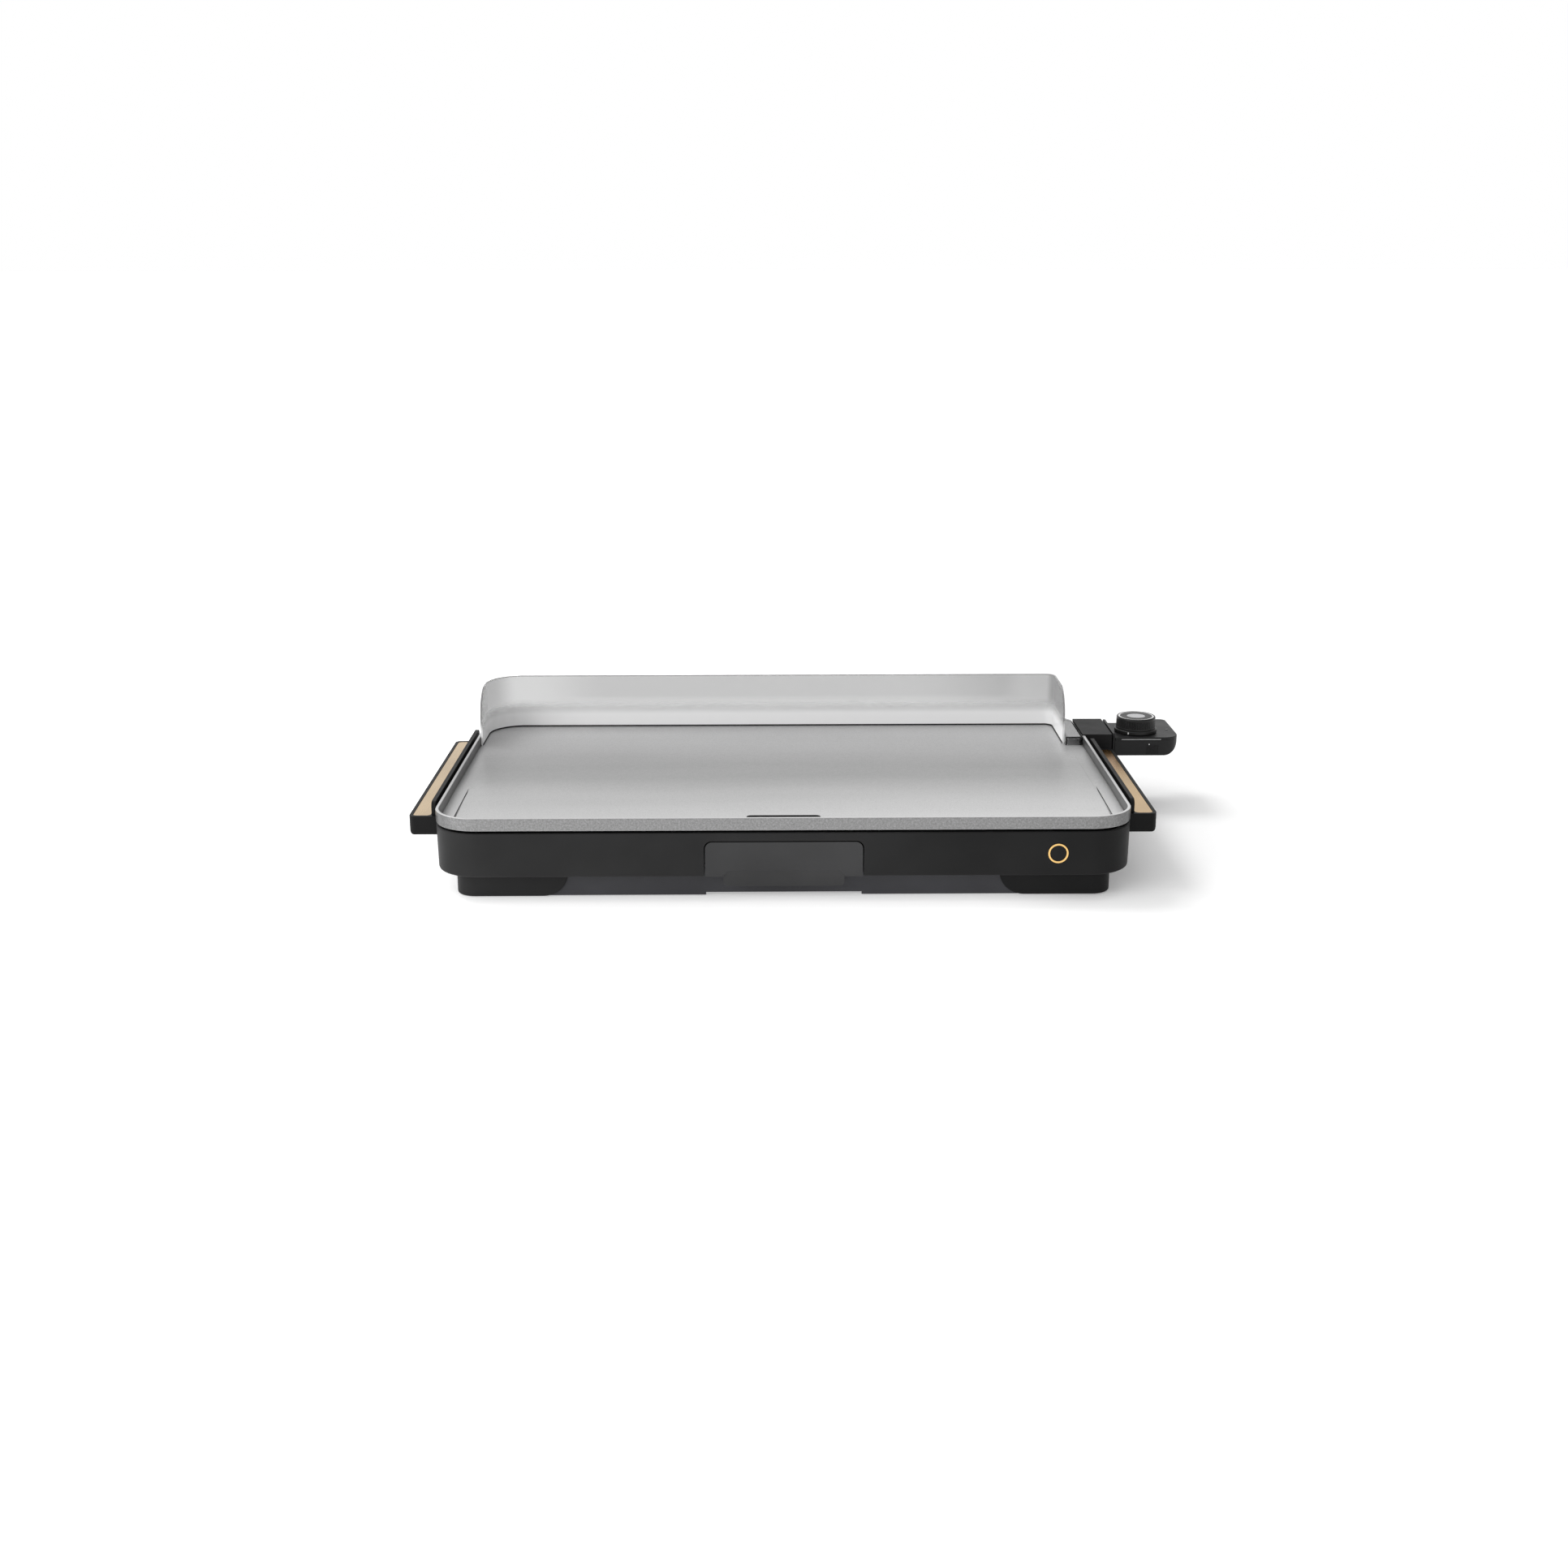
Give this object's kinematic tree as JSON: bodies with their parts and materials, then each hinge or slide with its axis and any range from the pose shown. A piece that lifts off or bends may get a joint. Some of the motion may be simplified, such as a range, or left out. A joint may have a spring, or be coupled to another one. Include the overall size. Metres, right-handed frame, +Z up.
{
  "type": "electric griddle",
  "caption": "Electric griddle: cast non-stick plate with drain slot on a plastic base, clear splatter shield, inlaid side handles, front drip tray and plug-in temperature control.",
  "frame": {"origin": "centre of the whole object's footprint box, from the left handle to the temperature control, on the surface it stands on", "axes": "+X to the right towards the temperature control, +Y to the back where the splatter shield stands, +Z up; the front with the drip tray faces -Y"},
  "size_m": [0.7064, 0.3586, 0.1185],
  "materials": {
    "coated_plate": "satin light-grey non-stick coating with fine speckle on cast aluminium",
    "sheath_steel": "heat-tinted tubular sheath",
    "nickel_pins": "nickel plated",
    "ceramic_white": null,
    "black_plastic": "fine satin texture",
    "charcoal_plastic": "fine satin texture",
    "tray_plastic": "fine satin texture",
    "screw_steel": "zinc plated",
    "pad_rubber": "matte",
    "silicone_grey": "matte silicone",
    "reflector_sheet": "aluminised sheet",
    "champagne_metal": "satin champagne gold",
    "gold_trim": "polished gold",
    "clear_plastic": "clear moulded sheet",
    "control_plastic": "satin, lightly textured",
    "knob_plastic": "satin",
    "rod_steel": "polished stainless",
    "contact_brass": "plain",
    "bracket_steel": "zinc plated",
    "lamp_glass": "neon lamp",
    "lens_amber": "dark red lens",
    "dial_silver": "silver printed ring",
    "cap_grey": "grey satin disc"
  },
  "bodies": {
    "base": {"outer_shell": "black_plastic", "base_chassis": "charcoal_plastic", "chassis_screws": "screw_steel", "corner_feet": "black_plastic", "foot_pads": "pad_rubber", "plate_rests": "silicone_grey", "heat_reflector": "reflector_sheet", "reflector_screws": "screw_steel", "tray_runners": "charcoal_plastic", "left_handle": "black_plastic", "right_handle": "black_plastic", "left_inlay": "champagne_metal", "right_inlay": "champagne_metal", "handle_screws": "screw_steel", "front_badge": "gold_trim"},
    "plate": {"griddle_plate": "coated_plate", "heating_element": "sheath_steel", "terminal_pins": "nickel_pins", "terminal_insulators": "ceramic_white", "terminal_guard": "black_plastic", "guard_screws": "screw_steel"},
    "shield": {"splatter_shield": "clear_plastic", "shield_foot": "clear_plastic"},
    "control": {"control_base": "control_plastic", "control_cover": "control_plastic", "control_nose": "control_plastic", "control_fin": "control_plastic", "sensor_rod": "rod_steel", "contact_sockets": "contact_brass", "thermostat_frame": "bracket_steel", "contact_blades": "contact_brass", "blade_insulators": "ceramic_white", "indicator_lamp": "lamp_glass", "indicator_lens": "lens_amber", "cord_inlet": "pad_rubber", "control_screws_set": "screw_steel"},
    "knob": {"knob_grip": "knob_plastic", "knob_skirt": "knob_plastic", "dial_ring": "dial_silver", "knob_cap": "cap_grey", "knob_shaft": "rod_steel"},
    "tray": {"drip_tray": "tray_plastic", "tray_front": "tray_plastic", "tray_screws": "screw_steel"}
  },
  "joints": [
    {"name": "plate_lift", "type": "slide", "parent": "base", "child": "plate", "axis": [0, 0, 1], "range_m": [0, 0.08]},
    {"name": "shield_lift", "type": "slide", "parent": "plate", "child": "shield", "axis": [0, 0, 1], "range_m": [0, 0.08]},
    {"name": "control_pull", "type": "slide", "parent": "plate", "child": "control", "axis": [1, 0, 0], "range_m": [0, 0.125]},
    {"name": "knob_turn", "type": "hinge", "parent": "control", "child": "knob", "pos_m": [0.31465, 0.1193, 0.0722], "axis": [0, 0, 1], "range_deg": [-270, 0]},
    {"name": "tray_pull", "type": "slide", "parent": "base", "child": "tray", "axis": [0, -1, 0], "range_m": [0, 0.115]}
  ]
}
